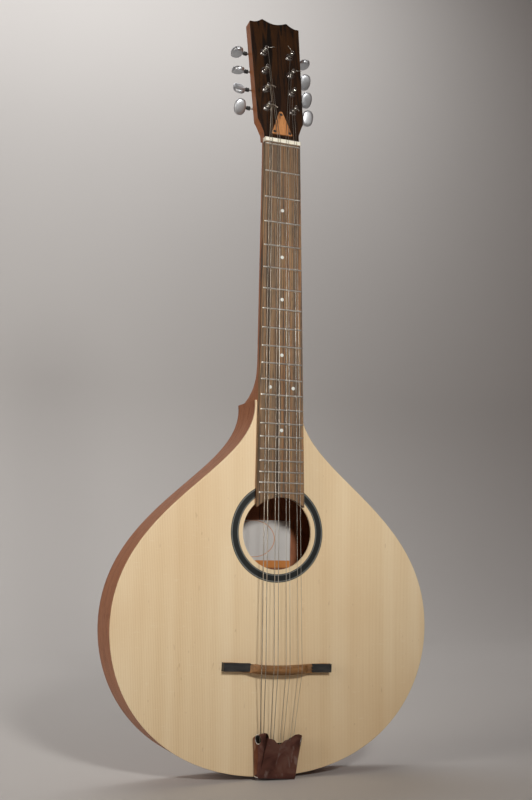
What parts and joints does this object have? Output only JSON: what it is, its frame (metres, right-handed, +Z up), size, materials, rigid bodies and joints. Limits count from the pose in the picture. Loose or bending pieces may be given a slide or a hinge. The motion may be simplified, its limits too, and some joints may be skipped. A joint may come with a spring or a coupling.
{
  "type": "bouzouki",
  "caption": "Flat-top bouzouki: teardrop body, round soundhole, long fretted neck, paired strings over a floating bridge to a metal tailpiece, geared tuners.",
  "frame": {"origin": "lowest point of the tail, where the instrument rests, halfway through the depth of the body", "axes": "+Z up along the neck, the soundboard faces -Y, +X to the right seen from the front"},
  "size_m": [0.3854, 0.0765, 0.9089],
  "materials": {
    "spruce": "satin spruce",
    "rosette": "black ring",
    "mahogany": "satin reddish mahogany",
    "inner_wood": "bare wood",
    "paper": "paper",
    "neck_wood": "satin mahogany",
    "rosewood": "satin dark rosewood",
    "striped_wood": "open grain, oiled",
    "bone": "bone",
    "steel": "plain steel",
    "brass": "plain brass",
    "black_steel": "black",
    "chrome": "polished",
    "silver": "satin silver",
    "ebony": "black veneer",
    "bridge_wood": "oiled brown",
    "light_wood": "orange brown"
  },
  "bodies": {
    "instrument": {"soundboard": "spruce", "rosette": "rosette", "back": "mahogany", "rib_left": "mahogany", "rib_right": "mahogany", "lining_front_left": "inner_wood", "lining_front_right": "inner_wood", "lining_back_left": "inner_wood", "lining_back_right": "inner_wood", "neck_block": "inner_wood", "tail_block": "inner_wood", "top_brace_1": "inner_wood", "top_brace_2": "inner_wood", "top_brace_3": "inner_wood", "back_brace_1": "inner_wood", "back_brace_2": "inner_wood", "label": "paper", "neck": "neck_wood", "headplate": "rosewood", "fingerboard": "striped_wood", "nut": "bone", "truss_rod": "steel", "tail_screw_1": "steel", "tail_screw_2": "steel", "string_1": "steel", "string_2": "steel", "string_3": "steel", "string_4": "steel", "string_5": "steel", "string_6": "steel", "string_7": "steel", "string_8": "steel", "cover_screw_1": "black_steel", "cover_screw_2": "black_steel", "cover_screw_3": "black_steel", "tuner_plate_left": "chrome", "tuner_plate_right": "chrome", "tailpiece_plate": "chrome", "tailpiece_cover": "chrome", "bridge_wing_left": "ebony", "bridge_wing_right": "ebony", "bridge": "bridge_wood", "truss_cover": "light_wood"},
    "rod_nut": {"truss_nut": "brass"},
    "post_1": {"string_post_1": "chrome"},
    "key_1": {"tuner_key_1": "silver"},
    "post_2": {"string_post_2": "chrome"},
    "key_2": {"tuner_key_2": "silver"},
    "post_3": {"string_post_3": "chrome"},
    "key_3": {"tuner_key_3": "silver"},
    "post_4": {"string_post_4": "chrome"},
    "key_4": {"tuner_key_4": "silver"},
    "post_5": {"string_post_5": "chrome"},
    "key_5": {"tuner_key_5": "silver"},
    "post_6": {"string_post_6": "chrome"},
    "key_6": {"tuner_key_6": "silver"},
    "post_7": {"string_post_7": "chrome"},
    "key_7": {"tuner_key_7": "silver"},
    "post_8": {"string_post_8": "chrome"},
    "key_8": {"tuner_key_8": "silver"}
  },
  "joints": [
    {"name": "rod_nut_turn", "type": "hinge", "parent": "instrument", "child": "rod_nut", "pos_m": [0, -0.02296, 0.75091], "axis": [0, 0.014, 0.9999], "range_deg": [-180, 180]},
    {"name": "key_1_turn", "type": "hinge", "parent": "instrument", "child": "key_1", "pos_m": [-0.0172, -0.00487, 0.78616], "axis": [-1, 0, 0], "continuous": true},
    {"name": "post_1_turn", "type": "hinge", "parent": "instrument", "child": "post_1", "pos_m": [-0.0172, -0.02447, 0.7821], "axis": [0, -0.9848, 0.1736], "continuous": true},
    {"name": "key_2_turn", "type": "hinge", "parent": "instrument", "child": "key_2", "pos_m": [-0.0172, -0.00035, 0.81177], "axis": [-1, 0, 0], "continuous": true},
    {"name": "post_2_turn", "type": "hinge", "parent": "instrument", "child": "post_2", "pos_m": [-0.0172, -0.01995, 0.80771], "axis": [0, -0.9848, 0.1736], "continuous": true},
    {"name": "key_3_turn", "type": "hinge", "parent": "instrument", "child": "key_3", "pos_m": [-0.0172, 0.00416, 0.83737], "axis": [-1, 0, 0], "continuous": true},
    {"name": "post_3_turn", "type": "hinge", "parent": "instrument", "child": "post_3", "pos_m": [-0.0172, -0.01544, 0.83331], "axis": [0, -0.9848, 0.1736], "continuous": true},
    {"name": "key_4_turn", "type": "hinge", "parent": "instrument", "child": "key_4", "pos_m": [-0.0172, 0.00868, 0.86298], "axis": [-1, 0, 0], "continuous": true},
    {"name": "post_4_turn", "type": "hinge", "parent": "instrument", "child": "post_4", "pos_m": [-0.0172, -0.01092, 0.85892], "axis": [0, -0.9848, 0.1736], "continuous": true},
    {"name": "key_5_turn", "type": "hinge", "parent": "instrument", "child": "key_5", "pos_m": [0.0172, 0.00868, 0.86298], "axis": [1, 0, 0], "continuous": true},
    {"name": "post_5_turn", "type": "hinge", "parent": "instrument", "child": "post_5", "pos_m": [0.0172, -0.01092, 0.85892], "axis": [0, -0.9848, 0.1736], "continuous": true},
    {"name": "key_6_turn", "type": "hinge", "parent": "instrument", "child": "key_6", "pos_m": [0.0172, 0.00416, 0.83737], "axis": [1, 0, 0], "continuous": true},
    {"name": "post_6_turn", "type": "hinge", "parent": "instrument", "child": "post_6", "pos_m": [0.0172, -0.01544, 0.83331], "axis": [0, -0.9848, 0.1736], "continuous": true},
    {"name": "key_7_turn", "type": "hinge", "parent": "instrument", "child": "key_7", "pos_m": [0.0172, -0.00035, 0.81177], "axis": [1, 0, 0], "continuous": true},
    {"name": "post_7_turn", "type": "hinge", "parent": "instrument", "child": "post_7", "pos_m": [0.0172, -0.01995, 0.80771], "axis": [0, -0.9848, 0.1736], "continuous": true},
    {"name": "key_8_turn", "type": "hinge", "parent": "instrument", "child": "key_8", "pos_m": [0.0172, -0.00487, 0.78616], "axis": [1, 0, 0], "continuous": true},
    {"name": "post_8_turn", "type": "hinge", "parent": "instrument", "child": "post_8", "pos_m": [0.0172, -0.02447, 0.7821], "axis": [0, -0.9848, 0.1736], "continuous": true}
  ],
  "couplings": [
    {"joint": "post_1_turn", "follows": "key_1_turn", "ratio": 0.071429},
    {"joint": "post_2_turn", "follows": "key_2_turn", "ratio": 0.071429},
    {"joint": "post_3_turn", "follows": "key_3_turn", "ratio": 0.071429},
    {"joint": "post_4_turn", "follows": "key_4_turn", "ratio": 0.071429},
    {"joint": "post_5_turn", "follows": "key_5_turn", "ratio": -0.071429},
    {"joint": "post_6_turn", "follows": "key_6_turn", "ratio": -0.071429},
    {"joint": "post_7_turn", "follows": "key_7_turn", "ratio": -0.071429},
    {"joint": "post_8_turn", "follows": "key_8_turn", "ratio": -0.071429}
  ]
}
